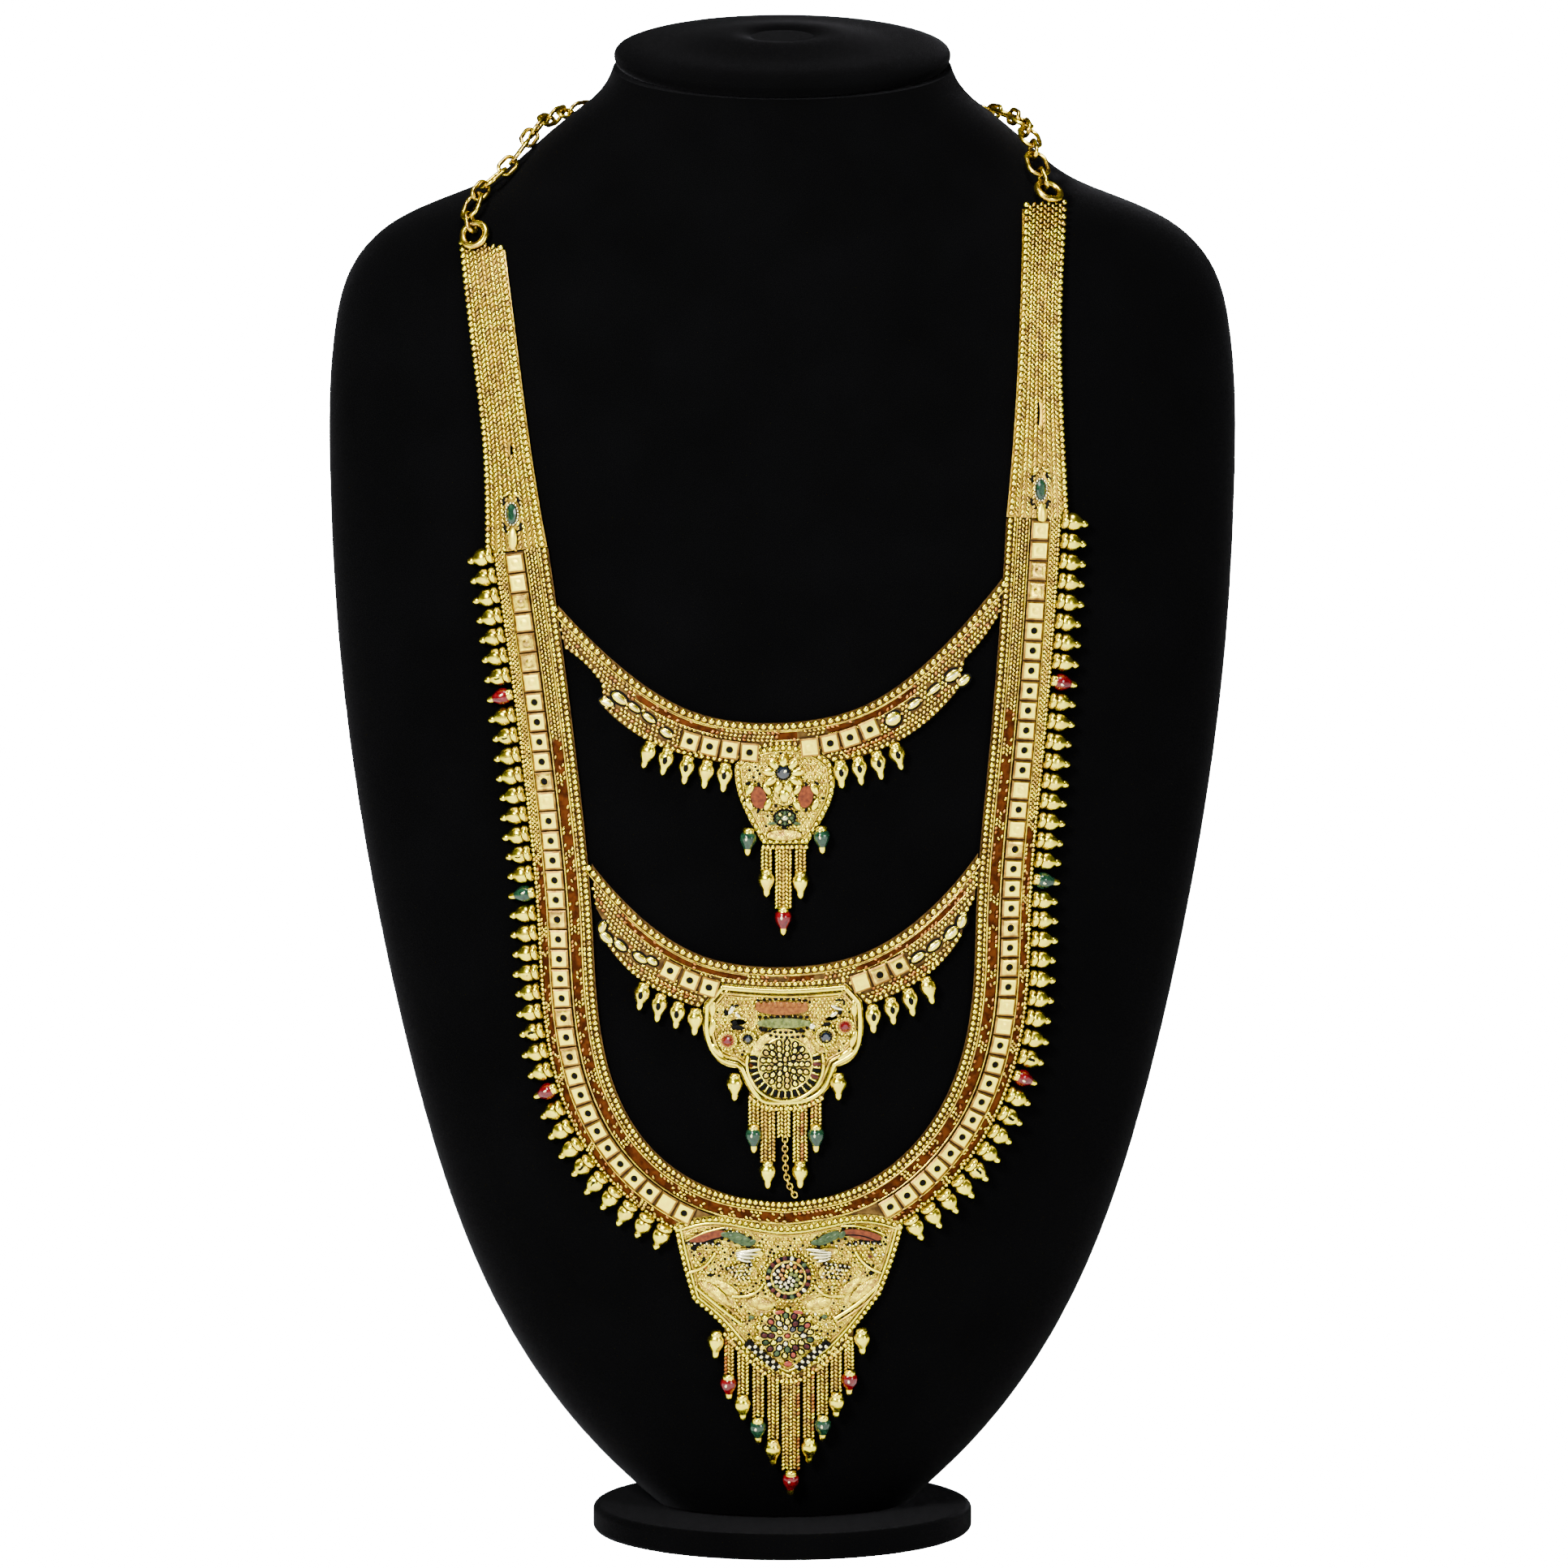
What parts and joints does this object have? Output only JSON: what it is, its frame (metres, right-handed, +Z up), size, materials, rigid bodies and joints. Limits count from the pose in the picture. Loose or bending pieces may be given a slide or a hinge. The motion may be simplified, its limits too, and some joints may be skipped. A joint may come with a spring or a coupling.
{
  "type": "rani haar necklace on neck bust",
  "caption": "Long tiered gold-tone rani haar necklace with tile bands, festoons, enamelled pendants and bud drops, lying on a black velvet neck bust with a round base.",
  "frame": {"origin": "centre of the underside of the round base", "axes": "+Z up, the bust's front with the necklace faces -Y, +X to the viewer's right"},
  "size_m": [0.2894, 0.1268, 0.4858],
  "materials": {
    "velvet": "black velvet",
    "gold": "polished gold plate with matt grain",
    "enamel_red": "glossy red enamel",
    "enamel_green": "glossy green enamel",
    "ruby_stone": "red paste stone",
    "emerald_stone": "green paste stone",
    "blue_stone": "dark blue paste stone"
  },
  "bodies": {
    "root": {"bust_body": "velvet", "bust_cap": "velvet", "bust_foot": "velvet", "strap_left": "gold", "strap_right": "gold", "band_left": "gold", "band_right": "gold", "festoon_upper": "gold", "festoon_lower": "gold", "pendant_upper": "gold", "pendant_middle": "gold", "pendant_lower": "gold", "fringe_upper": "gold", "fringe_middle": "gold", "fringe_lower": "gold", "enamel_red_upper": "enamel_red", "enamel_green_upper": "enamel_green", "enamel_red_middle": "enamel_red", "enamel_green_middle": "enamel_green", "enamel_red_lower": "enamel_red", "enamel_green_lower": "enamel_green", "drops_left": "gold", "drops_right": "gold", "drops_upper": "gold", "drops_lower": "gold", "fringe_drops_upper": "gold", "fringe_drops_middle": "gold", "fringe_drops_lower": "gold", "ruby_drops": "ruby_stone", "emerald_drops": "emerald_stone", "blue_stone": "blue_stone", "strap_stone_left": "emerald_stone", "strap_stone_right": "emerald_stone", "ring_stones_red": "ruby_stone", "ring_stones_blue": "blue_stone", "chain_left": "gold", "chain_right": "gold", "eye_ring_left": "gold", "eye_ring_right": "gold", "hook_clasp": "gold", "tie_chain": "gold"}
  },
  "joints": []
}
